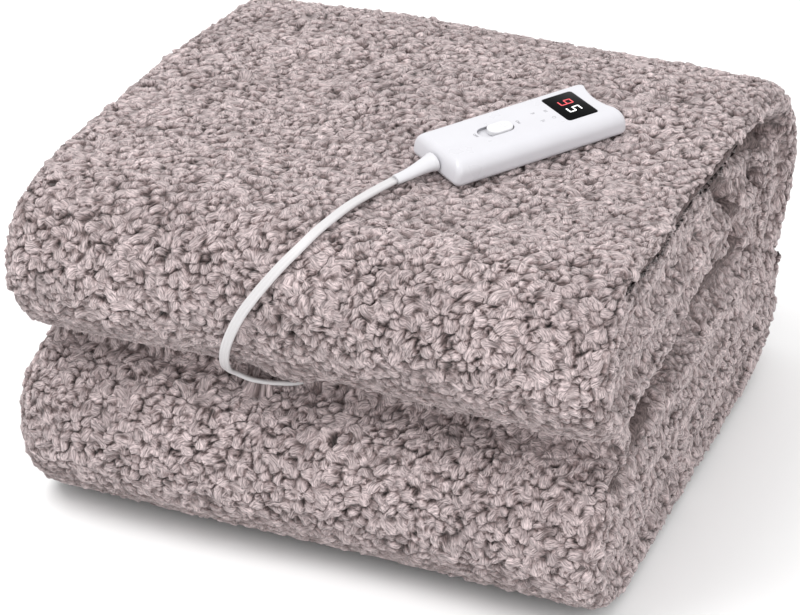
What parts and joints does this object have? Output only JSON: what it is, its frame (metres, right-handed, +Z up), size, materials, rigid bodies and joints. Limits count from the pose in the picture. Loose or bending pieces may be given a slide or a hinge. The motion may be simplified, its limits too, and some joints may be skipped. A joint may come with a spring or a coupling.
{
  "type": "folded electric heated blanket with handset",
  "caption": "Folded fluffy electric blanket, rolled at the front, with a white slide-switch handset on top and a flat cord that runs into the fold.",
  "frame": {"origin": "on the surface that the fold lies on, under the middle of the folded blanket", "axes": "+Z up, -Y towards the two front rolls, +X towards the end where the edges of the layers show"},
  "size_m": [0.4062, 0.4072, 0.255],
  "materials": {
    "pile": "curled long pile, matte with a soft sheen",
    "case_plastic": "gloss white",
    "window_plastic": "gloss black",
    "knob_plastic": "satin white",
    "relief_plastic": "soft satin white",
    "cord_plastic": "soft satin white"
  },
  "bodies": {
    "fold": {"blanket": "pile", "handset_case": "case_plastic", "display_window": "window_plastic", "strain_relief": "relief_plastic", "cord": "cord_plastic"},
    "switch": {"slide_knob": "knob_plastic"}
  },
  "joints": [
    {"name": "switch_slide", "type": "slide", "parent": "fold", "child": "switch", "axis": [-0.568, -0.8221, -0.039], "range_m": [0, 0.0064]}
  ]
}
